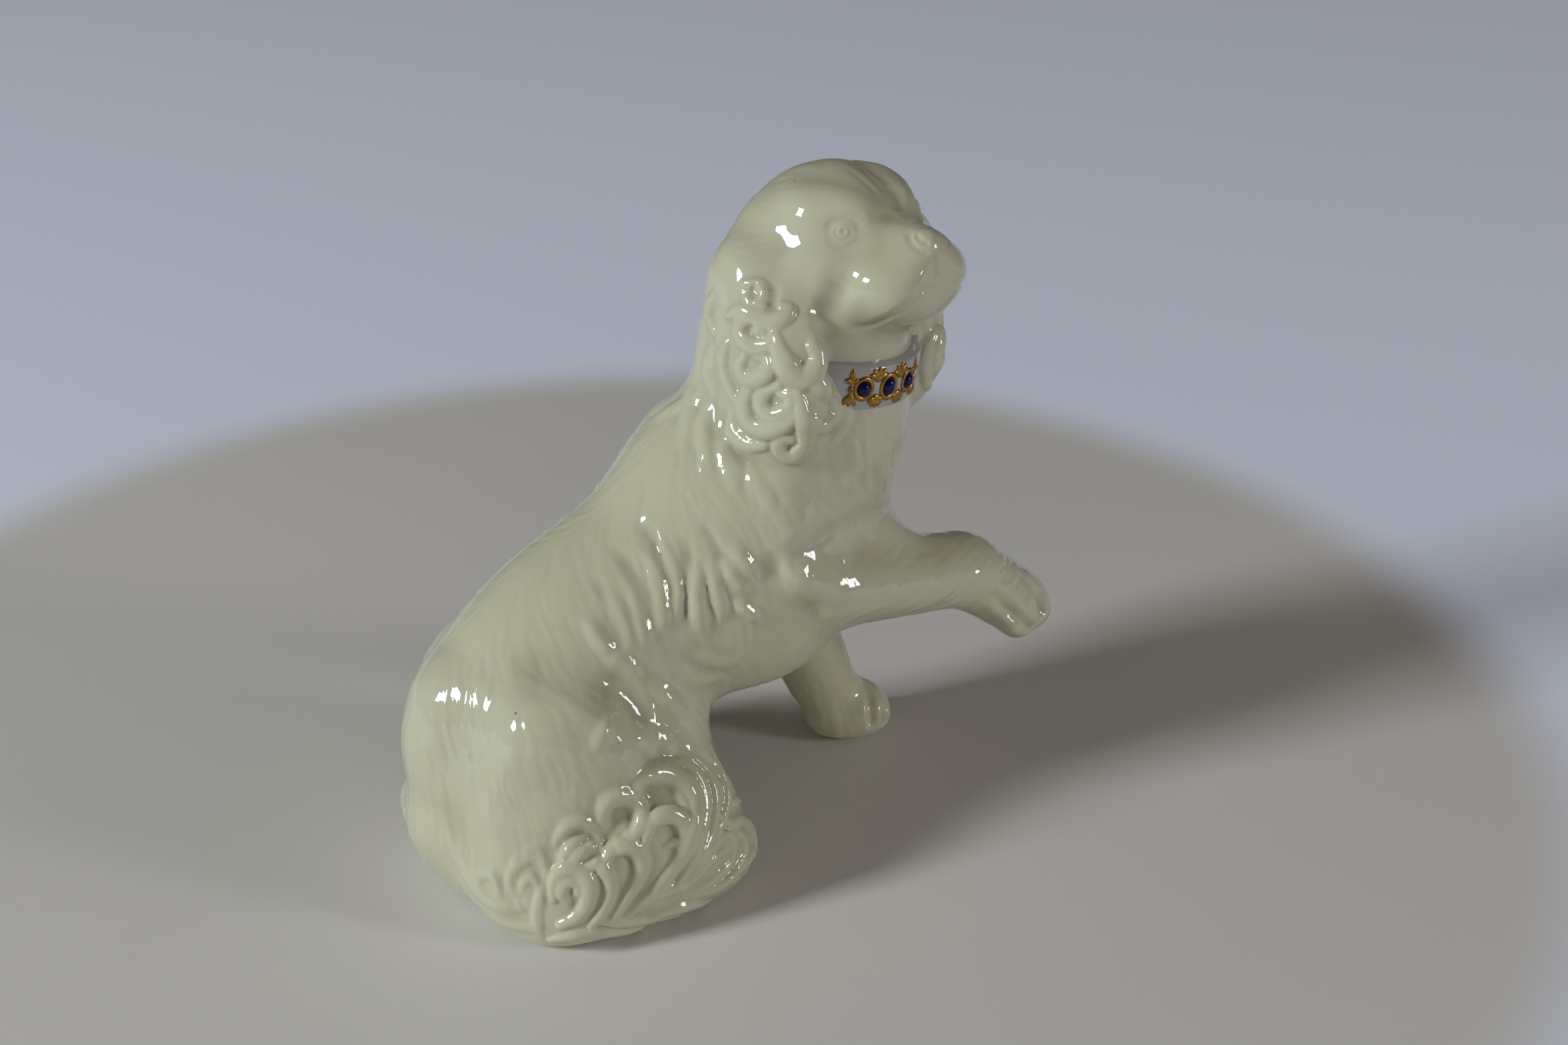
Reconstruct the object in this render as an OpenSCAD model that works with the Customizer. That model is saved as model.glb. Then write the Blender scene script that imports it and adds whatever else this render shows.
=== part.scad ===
// Sitting spaniel figurine with one forepaw raised, slip-cast in glazed porcelain.
// Millimetres, +X forward, +Y to the dog's left, +Z up, flat base on z = 0.

/* [Trunk] */

// Chest centre
chest_at = [24, 0, 47]; // [-60:0.5:120]
// Chest half length, half width and half depth
chest_half = [25, 17.5, 21]; // [5:0.5:40]
// Chest slope
chest_pitch = 38; // [0:1:60]
// Loin centre
loin_at = [1, 0, 38]; // [-60:0.5:120]
// Loin half length, half width and half depth
loin_half = [25, 17, 18]; // [5:0.5:40]
// Loin slope
loin_pitch = 30; // [0:1:60]
// Rump centre
rump_at = [-9, 0, 22]; // [-60:0.5:120]
// Rump half length, half width and half height
rump_half = [19, 18, 22.5]; // [5:0.5:40]
// Thigh centre on the left, mirrored to the right
thigh_at = [-5.5, 13.5, 21.5]; // [-60:0.5:120]
// Thigh half length, half width and half height
thigh_half = [20, 11.2, 20]; // [5:0.5:40]
// Thigh slope
thigh_pitch = 15; // [0:1:60]
// Seat centre, the broad mass on the ground
seat_at = [-4, 0, 6]; // [-60:0.5:120]
// Seat half length, half width and half height
seat_half = [24, 23.5, 12]; // [5:0.5:40]
// Breast centre
breast_at = [37, -1, 54]; // [-60:0.5:120]
// Breast half length, half width and half height
breast_half = [14, 14.5, 20]; // [5:0.5:40]
// Shoulder centre on the left, mirrored to the right
shoulder_at = [27, 12.5, 48]; // [-60:0.5:120]
// Shoulder half length, half width and half height
shoulder_half = [12, 7, 17]; // [4:0.5:30]
// Withers, where the neck leaves the back
withers_at = [25, 0, 58]; // [-60:0.5:120]
// Radius at the withers
withers_r = 15.5; // [8:0.5:24]
// Softness of the joins between the trunk masses
trunk_blend = 8; // [2:0.5:14]
// Softness of the crease round each thigh
thigh_blend = 3; // [1:0.5:8]
// Docked tail radius
tail_r = 4; // [2:0.25:7]
// Docked tail length
tail_len = 9; // [5:0.5:12]
// Width of the casting vent in the base
vent_d = 7; // [3:0.5:12]
// Depth of the casting vent
vent_deep = 9; // [4:0.5:16]

/* [Neck] */

// Foot of the upper neck on its axis
neck_low = [38.6, -5.2, 70]; // [-60:0.2:120]
// Head of the upper neck on its axis
neck_top = [41, -6.5, 90]; // [-60:0.2:120]
// Upper neck radius
neck_r = 12.3; // [8:0.1:18]
// Distance of the head seam above the foot of the upper neck
seam_rise = 15.2; // [12:0.2:19]
// Nape hair centre, measured back from the neck axis
nape_back = 10; // [2:0.5:16]
// Angle of the nape hair round the neck
nape_round = 147; // [90:1:180]
// Nape hair half length, half width and half height
nape_half = [10, 10, 20]; // [4:0.5:30]

/* [Head] */

// Middle of the skull
head_at = [42.5, -7, 96.2]; // [-60:0.2:120]
// Turn of the head from straight ahead, to the dog's right
head_turn = 73; // [0:1:90]
// Lift of the muzzle
head_lift = 15; // [-20:1:40]
// Skull half length, half width and half height
skull_half = [14.6, 13.2, 12.6]; // [6:0.1:24]
// Brow half length, half width and half height
brow_half = [4.2, 4.4, 3.6]; // [2:0.1:8]
// Muzzle length from the middle of the skull to the bridge end
muzzle_len = 13.4; // [8:0.1:18]
// Muzzle radius at the stop
stop_r = 6.8; // [4:0.1:12]
// Muzzle radius at the nose
snout_r = 4.8; // [3:0.1:10]
// Flew half length, half width and half height
flew_half = [7.4, 4.5, 5.5]; // [2:0.1:10]
// Flew distance from the middle of the face
flew_out = 4.4; // [2:0.1:7]
// Chin half length, half width and half height
chin_half = [7.2, 4.6, 3]; // [2:0.1:10]
// Cheek half length, half width and half height
cheek_half = [9, 6, 7]; // [3:0.1:12]
// Nose pad half length, half width and half height
nose_half = [2.6, 3.1, 2.2]; // [1:0.1:5]
// Softness of the joins between the head masses
head_blend = 3; // [1:0.25:6]
// Eyeball radius
eye_r = 2.5; // [1:0.1:4]
// Pupil hollow radius
pupil_r = 0.9; // [0.3:0.05:1.5]

/* [Ears] */

// Angle of the right ear from the face, round the neck
right_ear_round = 88; // [50:1:100]
// Angle of the left ear from the face, round the neck
left_ear_round = 92; // [50:1:100]
// Ear leather height above the foot of the upper neck
ear_rise = 12.5; // [6:0.5:20]
// Right ear leather half thickness, half width and half height
right_ear_half = [3.9, 12.4, 13.5]; // [2:0.1:20]
// Left ear leather half thickness, half width and half height
left_ear_half = [3.9, 10.2, 13.5]; // [2:0.1:20]
// Distance of the right ear's middle outside the neck
right_ear_out = 1.8; // [0:0.1:6]
// Distance of the left ear's middle outside the neck
left_ear_out = 1; // [0:0.1:6]
// Forward sweep of the ear from its root to its tip
ear_sweep = 5.5; // [0:0.25:10]
// Thickness of a scroll curl
curl_r = 1.5; // [0.6:0.05:2.5]

/* [Forelegs] */

// Shoulder end of the raised leg
reach_root = [27, -11.5, 49]; // [-60:0.5:120]
// Elbow of the raised leg
reach_elbow = [34, -15, 45.2]; // [-60:0.5:120]
// Wrist of the raised leg
reach_wrist = [62, -12.5, 39.8]; // [-60:0.5:120]
// Toe end of the raised leg
reach_toe = [73.8, -12, 30.4]; // [-60:0.5:120]
// Upper arm where it leaves the breast
arm_top = [39, -10, 53]; // [-60:0.5:120]
// Upper arm radius at the breast
arm_r = 8; // [4:0.1:12]
// Elbow radius
elbow_r = 7; // [4:0.1:11]
// Wrist radius
wrist_r = 6.2; // [3:0.1:9]
// Paw radius
paw_r = 5.8; // [3:0.1:9]
// Toe radius
toe_r = 2.7; // [1.5:0.1:4]
// Shoulder end of the standing leg
stand_root = [36, 10, 44]; // [-60:0.5:120]
// Wrist of the standing leg
stand_wrist = [48.5, 9.8, 12]; // [-60:0.5:120]
// Middle of the standing paw
stand_paw = [53.5, 9, 4]; // [-60:0.5:120]
// Standing paw half length, half width and half height
stand_paw_half = [8.4, 6.6, 5]; // [2:0.1:12]

/* [Hind feet] */

// Hock centre on the left, mirrored to the right
hock_at = [-4.5, 18.6, 8]; // [-60:0.5:120]
// Hock half length, half width and half height
hock_half = [21, 8.8, 15.5]; // [3:0.1:30]
// Hock slope
hock_pitch = 14; // [0:1:40]
// Knee centre on the left, mirrored to the right
knee_at = [3.5, 18.6, 15.5]; // [-60:0.5:120]
// Knee half length, half width and half height
knee_half = [11.5, 8.2, 12.5]; // [3:0.1:20]
// Thickness of a feather lock
lock_r = 1.5; // [0.6:0.05:2.5]

/* [Collar] */

// Height of the band's middle above the foot of the upper neck
band_rise = 10.4; // [6:0.1:14]
// Band height
band_h = 7.2; // [3:0.1:10]
// Band stands out from the neck by
band_wall = 2; // [1:0.05:3]
// Arc of the band from ear to ear
band_arc = 126; // [90:1:220]
// Angle between neighbouring stones
stone_step = 18; // [12:0.5:26]
// Front stone width
front_stone_w = 2.5; // [1:0.05:4]
// Front stone height
front_stone_h = 3; // [1:0.05:4]
// Side stone width
side_stone_w = 2.2; // [1:0.05:4]
// Side stone height
side_stone_h = 2.6; // [1:0.05:4]
// Stone dome height
stone_rise = 0.9; // [0.3:0.05:2]
// Width of the gilt ring round a stone
ring_w = 0.6; // [0.3:0.05:1.2]
// Relief of the gilt ornament
gilt_rise = 0.35; // [0.15:0.05:0.8]
// Palmette size
palmette = 1.7; // [1:0.05:2.4]
// Leaf length of an end fleur
fleur = 2; // [1:0.05:3]

/* [Seams] */

// Clearance left at a luted seam
seam = 0.2; // [0.05:0.05:0.5]
// Clearance between the band and what is fired on it
fired = 0.06; // [0.02:0.01:0.2]

/* [Hidden] */

porcelain = "#e6e2d0";
band_white = "#c9cdd0";
gilt = "#b98a2e";
cobalt = "#12164f";

// Turning matrices and unit vectors
function turn_x(a) = [[1, 0, 0], [0, cos(a), -sin(a)], [0, sin(a), cos(a)]];
function turn_y(a) = [[cos(a), 0, sin(a)], [0, 1, 0], [-sin(a), 0, cos(a)]];
function turn_z(a) = [[cos(a), -sin(a), 0], [sin(a), cos(a), 0], [0, 0, 1]];
function flip(m) = [for (i = [0:2]) [m[0][i], m[1][i], m[2][i]]];
function unit(v) = v / norm(v);
function mirror_y(p) = [p.x, -p.y, p.z];
function blend_line(a, b, t) = a + (b - a) * t;

// An egg is a turned ellipsoid, a shank is a tapered round bar, a group has a softness of its own
function egg(at, half, m = turn_z(0)) =
    let (t = flip(m))
    ["egg", at, [for (i = [0:2]) t[i] / half[i]], [for (i = [0:2]) t[i] / (half[i] * half[i])]];
function shank(a, ra, b, rb) = ["shank", a, ra, b, rb];
function group(k, ms) = ["group", k, ms];

// Signed distance from a point to one mass
function to_egg(m, p) =
    let (d = p - m[1], k0 = norm(m[2] * d), k1 = norm(m[3] * d))
    k0 * (k0 - 1) / max(k1, 0.000001);
function to_shank(m, p) =
    let (ba = m[3] - m[1], pa = p - m[1], t = min(1, max(0, pa * ba / (ba * ba))))
    norm(pa - ba * t) - (m[2] + (m[4] - m[2]) * t);
function to_mass(m, p) =
    m[0] == "egg" ? to_egg(m, p) : m[0] == "shank" ? to_shank(m, p) : to_all(m[2], m[1], p);
function soft_min(a, b, k) =
    let (h = max(k - abs(a - b), 0) / k)
    min(a, b) - h * h * k / 4;

// Signed distance from a point to masses that flow into one another
function to_all(ms, k, p, i = 1, d = undef) =
    let (now = d == undef ? to_mass(ms[0], p) : d)
    i >= len(ms) ? now : to_all(ms, k, p, i + 1, soft_min(now, to_mass(ms[i], p), k));

// Length of a ray from a point inside the masses to their skin
function reach_out(ms, k, o, d, t = 0, n = 0) =
    let (g = to_all(ms, k, o + d * t))
    n > 30 || abs(g) < 0.02 ? t : reach_out(ms, k, o, d, t - g, n + 1);

// Length of a ray from outside down to the skin, stopped at the far limit
function reach_in(ms, k, o, d, far, t = 0, n = 0) =
    let (g = to_all(ms, k, o + d * t))
    t >= far ? far : n > 30 || abs(g) < 0.02 ? t : reach_in(ms, k, o, d, far, t + g, n + 1);

// Smooth line through given stations
function spline_at(p, t) =
    let (n = len(p) - 1, i = min(n - 1, floor(t * n)), f = t * n - i,
        a = p[max(0, i - 1)], b = p[i], c = p[i + 1], d = p[min(n, i + 2)])
    0.5 * (2 * b + (c - a) * f + (2 * a - 5 * b + 4 * c - d) * f * f + (3 * b - a - 3 * c + d) * f * f * f);
function spline(p, n) = [for (i = [0:n]) spline_at(p, i / n)];

// Faces of a closed skin of rings between two poles
function skin_faces(rings, n) =
    let (last = 1 + rings * n)
    concat(
        [for (i = [0:n - 1]) [0, 1 + i, 1 + (i + 1) % n]],
        [for (r = [0:rings - 2], i = [0:n - 1], s = [0, 1])
            let (a = 1 + r * n + i, b = 1 + r * n + (i + 1) % n)
            s == 0 ? [a, a + n, b] : [b, a + n, b + n]],
        [for (i = [0:n - 1]) [last, last - n + (i + 1) % n, last - n + i]]);

// Loft of a skin round a spine, found by rays from the spine to the blended masses
module loft(ms, k, spine, ref, n, caps, grow = 0) {
    m = len(spine) - 1;
    rows = concat(
        [for (j = [1:caps]) [0, -90 + 90 * j / (caps + 1)]],
        [for (i = [0:m]) [i, 0]],
        [for (j = [1:caps]) [m, 90 * j / (caps + 1)]]);
    along = [for (i = [0:m]) unit(spine[min(m, i + 1)] - spine[max(0, i - 1)])];
    function skin_at(o, d) = o + d * (reach_out(ms, k, o, d) + grow);
    points = concat(
        [skin_at(spine[0], -along[0])],
        [for (r = rows)
            let (o = spine[r[0]], t = along[r[0]], e = unit(ref - (ref * t) * t), f = cross(t, e))
            for (i = [0:n - 1])
                let (a = 360 * i / n)
                skin_at(o, cos(r[1]) * (cos(a) * e + sin(a) * f) + sin(r[1]) * t)],
        [skin_at(spine[m], along[m])]);
    polyhedron(points, skin_faces(len(rows), n), convexity = 8);
}

// Everything at or below a plane through a point
module below(at, up) {
    multmatrix(frame_on(at, up))
        translate([-200, -200, -400])
            cube([400, 400, 400]);
}

// Frame whose Z follows a direction and whose X is as level as it can be
function frame_on(at, up) =
    let (z = unit(up), y = unit(cross(z, [1, 0, 0])), x = cross(y, z))
    [[x.x, y.x, z.x, at.x], [x.y, y.y, z.y, at.y], [x.z, y.z, z.z, at.z], [0, 0, 0, 1]];

// Makes its children one solid
module one_piece() {
    resize([0, 0, 0])
        children();
}

// Trunk
neck_up = unit(neck_top - neck_low);
seam_at = neck_low + neck_up * seam_rise;
nape_at = blend_line(neck_low, neck_top, 0.75) + nape_back * [cos(nape_round), sin(nape_round), 0];
trunk_masses = [
    group(trunk_blend, [
        egg(chest_at, chest_half, turn_y(-chest_pitch)),
        egg(loin_at, loin_half, turn_y(-loin_pitch)),
        egg(rump_at, rump_half),
        egg(seat_at, seat_half),
        egg(breast_at, breast_half),
        egg(shoulder_at, shoulder_half),
        egg(mirror_y(shoulder_at), shoulder_half),
        shank(withers_at, withers_r, neck_low, neck_r),
        shank(neck_low, neck_r, neck_top, neck_r),
        egg(nape_at, nape_half, turn_y(10))]),
    egg(thigh_at, thigh_half, turn_y(-thigh_pitch)),
    egg(mirror_y(thigh_at), thigh_half, turn_y(-thigh_pitch))];
trunk_stations = [
    rump_at + [-1, 0, -14],
    rump_at + [4, 0, -4],
    loin_at + [2, 0, -7],
    blend_line(loin_at, chest_at, 0.5),
    chest_at + [0, 0, 3],
    blend_line(chest_at, neck_low, 0.55),
    neck_low,
    neck_top];

module trunk_skin(grow = 0) {
    loft(trunk_masses, thigh_blend, spline(trunk_stations, 22), [0, 1, 0], 36, 5, grow);
}

module tail_skin(grow = 0) {
    root = [seat_at.x - seat_half.x + tail_r, 3, tail_r + 1];
    tip = root + tail_len * unit([4, 10, -1]);
    loft([shank(root, tail_r, tip, tail_r * 0.7)], 1,
        [root, blend_line(root, tip, 0.5), tip], [0, 0, 1], 16, 3, grow);
}

module body() {
    color(porcelain)
        one_piece()
            difference() {
                intersection() {
                    union() {
                        trunk_skin();
                        tail_skin();
                    }
                    below(seam_at, neck_up);
                    translate([-200, -200, 0])
                        cube(400);
                }
                translate([seat_at.x - seat_half.x / 3, 0, -1])
                    cylinder(h = vent_deep + 1, d = vent_d, $fn = 32);
            }
}

// Head
head_frame = turn_z(-head_turn) * turn_y(-head_lift);
function on_head(p) = head_at + head_frame * p;
function head_egg(p, half, m = turn_z(0)) = egg(on_head(p), half, head_frame * m);
function head_shank(a, ra, b, rb) = shank(on_head(a), ra, on_head(b), rb);
function pair(p) = [p, mirror_y(p)];
head_masses = concat(
    [head_egg([-3, 0, 1.6], skull_half)],
    [for (p = pair([skull_half.x - 8.2, 5, 6.4])) head_egg(p, brow_half)],
    [head_shank([4, 0, -1.2], stop_r, [muzzle_len, 0, -1], snout_r)],
    [for (p = pair([muzzle_len - 3.4, flew_out, -4.6])) head_egg(p, flew_half)],
    [head_egg([muzzle_len - 5.4, 0, -8.6], chin_half)],
    [for (p = pair([1, skull_half.y - 5.2, -3.6])) head_egg(p, cheek_half)],
    [head_egg([muzzle_len + snout_r - 1.4, 0, 0.7], nose_half),
     head_egg([-3, 0, -7], [11, 10, 9])]);
eye_at = [skull_half.x - 7.6, skull_half.y - 5.6, 4.6];

module head_skin(grow = 0) {
    loft(head_masses, head_blend,
        [for (t = [0:1 / 10:1]) on_head(blend_line([-5, 0, 0], [muzzle_len - 4, 0, -2.4], t))],
        head_frame * [0, 1, 0], 28, 6, grow);
}

module throat_skin(grow = 0) {
    loft([shank(neck_low, neck_r, neck_top, neck_r), egg(nape_at, nape_half, turn_y(10))],
        trunk_blend, spline([neck_low, seam_at, neck_top], 5), [0, 1, 0], 28, 1, grow);
}

module eye(p) {
    translate(on_head(p))
        difference() {
            sphere(r = eye_r, $fn = 16);
            translate(head_frame * [eye_r * 0.75, p.y > 0 ? eye_r * 0.62 : -eye_r * 0.62, eye_r * 0.1])
                sphere(r = pupil_r, $fn = 8);
        }
}

module head() {
    color(porcelain)
        one_piece()
            difference() {
                union() {
                    head_skin();
                    throat_skin();
                    for (p = pair(eye_at))
                        eye(p);
                }
                below(seam_at + neck_up * seam, neck_up);
            }
}

// All skins that the later pieces are scribed to
module scribe_body() {
    trunk_skin(seam);
    tail_skin(seam);
}

module scribe_head() {
    head_skin(seam);
    throat_skin(seam);
}

// Forelegs
module foreleg(ms, k, stations, ref, n) {
    color(porcelain)
        one_piece()
            difference() {
                intersection() {
                    loft(ms, k, spline(stations, n), ref, 20, 4);
                    translate([-200, -200, 0])
                        cube(400);
                }
                scribe_body();
            }
}

reach_paw_run = unit(reach_toe - reach_wrist);
module raised_foreleg() {
    side = unit(cross(reach_paw_run, [0, 0, 1]));
    up = cross(side, reach_paw_run);
    toes = [for (i = [-1.5:1:1.5])
        let (reach = paw_r * 0.55 - abs(i) * 0.7,
            at = reach_toe + side * i * toe_r * 0.92 + reach_paw_run * reach + up * 0.4)
        shank(at - reach_paw_run * 4, toe_r, at, toe_r)];
    foreleg(concat([
        shank(reach_root, elbow_r + 1, reach_elbow, elbow_r),
        shank(arm_top, arm_r, blend_line(reach_elbow, reach_wrist, 0.6), wrist_r * 0.9),
        shank(reach_elbow, elbow_r, reach_wrist, wrist_r),
        shank(reach_wrist, wrist_r, reach_toe, paw_r)], toes), 1.6,
        [reach_root, blend_line(reach_root, reach_elbow, 0.7), blend_line(reach_elbow, reach_wrist, 0.3),
            blend_line(reach_elbow, reach_wrist, 0.75), blend_line(reach_wrist, reach_toe, 0.2), reach_toe],
        [0, 1, 0], 18);
}

module standing_foreleg() {
    toes = [for (i = [-1.5:1:1.5])
        let (at = stand_paw + [stand_paw_half.x - toe_r * 1.1 - abs(i) * 0.9, i * toe_r * 1.1, -0.4])
        shank(at - [4, 0, 0], toe_r, at, toe_r)];
    foreleg(concat([
        shank(stand_root, elbow_r + 1.5, blend_line(stand_root, stand_wrist, 0.55), wrist_r + 0.6),
        shank(blend_line(stand_root, stand_wrist, 0.55), wrist_r + 0.6, stand_wrist, wrist_r),
        egg(stand_paw, stand_paw_half)], toes), 1.8,
        [stand_root, blend_line(stand_root, stand_wrist, 0.5), stand_wrist, stand_paw + [1, 0, 0]],
        [0, 1, 0], 16);
}

// Scroll curls: start, first heading, length, total turn and thickness, laid out flat
function curl_heading(c, t) = c[2] + c[4] * pow(t, 1.7);
function curl_line(c, n) =
    let (ds = c[3] / n)
    [for (i = 0, p = [c[0], c[1]]; i <= n;
        p = p + ds * [cos(curl_heading(c, (i + 0.5) / n)), sin(curl_heading(c, (i + 0.5) / n))],
        i = i + 1) p];

// A tapering tube along a line, with its own outward direction at each point
module tube(line, outward, r, sides = 5) {
    m = len(line) - 1;
    points = concat([line[0]],
        [for (i = [0:m])
            let (t = unit(line[min(m, i + 1)] - line[max(0, i - 1)]),
                e = unit(outward[i] - (outward[i] * t) * t), f = cross(t, e),
                s = r * (i == 0 ? 0.55 : i == m ? 0.5 : 1 - 0.25 * i / m))
            for (j = [0:sides - 1])
                line[i] + 0.3 * r * e + s * (cos(360 * j / sides) * e + sin(360 * j / sides) * f)],
        [line[m]]);
    polyhedron(points, skin_faces(m + 1, sides), convexity = 4);
}

// Ears
ear_curls = [
    [-5.6, 9, -14, 10, 220, 0.95],
    [-1, 8, -85, 21, 330, 1.15],
    [-5, 4.4, -100, 11.5, 290, 1],
    [-3.4, -2.6, -70, 15, 330, 1.1],
    [5, 0, -5, 13, -260, 1],
    [4.4, -4.6, -62, 14, -330, 1.05]];

module ear(side, half, ear_round, ear_out) {
    mid = neck_low + neck_up * ear_rise;
    round_at = side * ear_round - head_turn;
    out = [cos(round_at), sin(round_at), 0];
    across = [-sin(round_at), cos(round_at), 0];
    lobe_at = mid + out * (neck_r + ear_out);
    lean = [[out.x, across.x, 0], [out.y, across.y, 0], [0, 0, 1]];
    sweep = -side * across * ear_sweep;
    rise = [0, 0, half.z];
    ms = [
        egg(lobe_at, half, lean),
        egg(lobe_at + rise * 0.72 - sweep * 0.9 - out,
            [half.x, half.y * 0.74, half.z * 0.6], lean),
        egg(lobe_at - rise * 0.6 + sweep * 0.3,
            [half.x, half.y * 0.84, half.z * 0.56], lean)];
    spine = [for (t = [-0.9:0.19:1]) lobe_at + rise * t * 0.8 - sweep * t * 0.5 - out * max(0, t)];
    under = concat(ms, head_masses, [shank(neck_low, neck_r, neck_top, neck_r)]);
    function lay(p) =
        let (a = round_at - side * p.x / (neck_r + ear_out + half.x) * 57.3,
            o = mid + [0, 0, p.y] + [cos(a), sin(a), 0] * (neck_r + 20), d = -[cos(a), sin(a), 0])
        o + d * reach_in(under, 3, o, d, 20);
    color(porcelain)
        one_piece()
            difference() {
                union() {
                    loft(ms, 3, spine, across, 14, 2);
                    for (c = ear_curls)
                        let (line = [for (p = curl_line(c, 6)) lay(p)])
                        tube(line, [for (q = line) unit([q.x - mid.x, q.y - mid.y, 0])], curl_r * c[5]);
                }
                scribe_body();
                scribe_head();
                band_strip(seam);
            }
}

module right_ear() {
    ear(-1, right_ear_half, right_ear_round, right_ear_out);
}

module left_ear() {
    ear(1, left_ear_half, left_ear_round, left_ear_out);
}

// Hind feet with their feathering
foot_locks = [
    [-4, 6, 24, 30, 260, 1.2],
    [-7.6, 6.6, 30, 25, 290, 1.1],
    [-12.3, 4, 33, 20, 280, 1.1],
    [-19, 4.6, 5, 22, 340, 1.1],
    [-12.6, 11.4, 62, 12, 220, 1.1],
    [4, 8.5, 40, 11, -70, 1],
    [-1, 3.2, 12, 14.5, -14, 1]];

module hind_foot(side) {
    ms = [
        egg(mirror_y(hock_at), hock_half, turn_y(-hock_pitch)),
        egg(mirror_y(knee_at), knee_half),
        egg([hock_at.x + hock_half.x * 0.72, -hock_at.y, 5], [8.5, 7.6, 7])];
    under = concat(ms, trunk_masses);
    run = hock_half.x * [cos(hock_pitch), 0, sin(hock_pitch) * 0.7];
    spine = [for (t = [-0.75:0.16:0.7]) mirror_y(hock_at) + t * run];
    function lay(p) =
        let (o = [p.x, -45, p.y], d = [0, 1, 0])
        o + d * reach_in(under, 4, o, d, 40);
    color(porcelain)
        one_piece()
            difference() {
                intersection() {
                    scale([1, -side, 1])
                        union() {
                            loft(ms, 4, spine, [0, 1, 0], 20, 2);
                            for (c = foot_locks)
                                let (line = [for (p = curl_line(c, 7)) lay(p)])
                                tube(line, [for (q = line) [0, -1, 0]], lock_r * c[5]);
                        }
                    translate([-200, -200, 0])
                        cube(400);
                }
                scribe_body();
            }
}

module right_hind_foot() {
    hind_foot(-1);
}

module left_hind_foot() {
    hind_foot(1);
}

// Collar
band_at = neck_low + neck_up * band_rise;
band_r = neck_r + band_wall;
module on_neck(round, rise, out) {
    multmatrix(frame_on(band_at, neck_up))
        rotate([0, 0, round])
            translate([out, 0, rise])
                rotate([90, 0, 90])
                    children();
}
front = -head_turn - 7;

module band_strip(grow = 0) {
    half = band_h / 2 + grow;
    edge = band_r + grow;
    multmatrix(frame_on(band_at, neck_up))
        rotate([0, 0, front - band_arc / 2])
            rotate_extrude(angle = band_arc, $fn = 72)
                polygon([[neck_r - 3, -half], [edge - 0.5, -half], [edge, -half + 0.5],
                    [edge, half - 0.5], [edge - 0.5, half], [neck_r - 3, half]]);
}

module collar_band() {
    color(band_white)
        one_piece()
            difference() {
                band_strip();
                scribe_body();
            }
}

// Oval dome of a fired stone
module dome(w, h, n = 16) {
    levels = [[1, 0], [1, 0.15], [0.88, 0.52], [0.55, 0.85]];
    polyhedron(concat([[0, 0, 0]],
        [for (l = levels, i = [0:n - 1])
            [l[0] * w / 2 * cos(360 * i / n), l[0] * h / 2 * sin(360 * i / n), l[1] * stone_rise]],
        [[0, 0, stone_rise]]), skin_faces(len(levels), n));
}

module stone(k, w, h) {
    color(cobalt)
        on_neck(front + k * stone_step, 0, band_r + fired)
            dome(w, h);
}

module oval(w, h) {
    scale([w, h])
        circle(d = 1, $fn = 16);
}

module ring(k, w, h) {
    color(gilt)
        on_neck(front + k * stone_step, 0, band_r + fired)
            linear_extrude(gilt_rise * 1.4)
                difference() {
                    oval(w + 2 * ring_w, h + 2 * ring_w);
                    oval(w + 2 * fired, h + 2 * fired);
                }
}

module leaf(length, width, a) {
    rotate(a)
        polygon([[0, -width * 0.35], [length * 0.55, -width / 2], [length, 0],
            [length * 0.55, width / 2], [0, width * 0.35]]);
}

module palmette_at(k, s) {
    run = band_r * sin(stone_step / 2);
    edge = 2 * (ring_w + fired);
    color(gilt)
        on_neck(front + k * stone_step, s * (band_h / 2 - palmette - 0.4), band_r + fired)
            linear_extrude(gilt_rise)
                rotate(s > 0 ? 0 : 180)
                    difference() {
                        union() {
                            for (a = [20, 55, 90, 125, 160])
                                leaf(palmette * (0.75 + 0.25 * sin(a)), palmette * 0.42, a);
                            circle(d = palmette * 0.55, $fn = 16);
                        }
                        for (x = [-run, run])
                            translate([x, palmette + 0.4 - band_h / 2])
                                oval(front_stone_w + edge, front_stone_h + edge);
                    }
}

module end_fleur(k) {
    color(gilt)
        on_neck(front + k * stone_step, 0, band_r + fired)
            linear_extrude(gilt_rise)
                union() {
                    for (s = [0, 180], a = [38, 90, 142])
                        rotate(s)
                            translate([0, 0.75])
                                leaf(a == 90 ? fleur : fleur * 0.62, fleur * 0.36, a);
                    circle(d = 0.9, $fn = 16);
                    square([0.34, 2], center = true);
                }
}

module front_stone() {
    stone(0, front_stone_w, front_stone_h);
}

module right_stone() {
    stone(-1, side_stone_w, side_stone_h);
}

module left_stone() {
    stone(1, side_stone_w, side_stone_h);
}

module front_ring() {
    ring(0, front_stone_w, front_stone_h);
}

module right_ring() {
    ring(-1, side_stone_w, side_stone_h);
}

module left_ring() {
    ring(1, side_stone_w, side_stone_h);
}

module upper_right_palmette() {
    palmette_at(-0.5, 1);
}

module lower_right_palmette() {
    palmette_at(-0.5, -1);
}

module upper_left_palmette() {
    palmette_at(0.5, 1);
}

module lower_left_palmette() {
    palmette_at(0.5, -1);
}

module right_end_fleur() {
    end_fleur(-1.6);
}

module left_end_fleur() {
    end_fleur(1.6);
}

body();
head();
right_ear();
left_ear();
raised_foreleg();
standing_foreleg();
right_hind_foot();
left_hind_foot();
collar_band();
front_stone();
right_stone();
left_stone();
front_ring();
right_ring();
left_ring();
upper_right_palmette();
lower_right_palmette();
upper_left_palmette();
lower_left_palmette();
right_end_fleur();
left_end_fleur();
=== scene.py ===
"""Looks of the porcelain spaniel figurine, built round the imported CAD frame."""

import math

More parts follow.
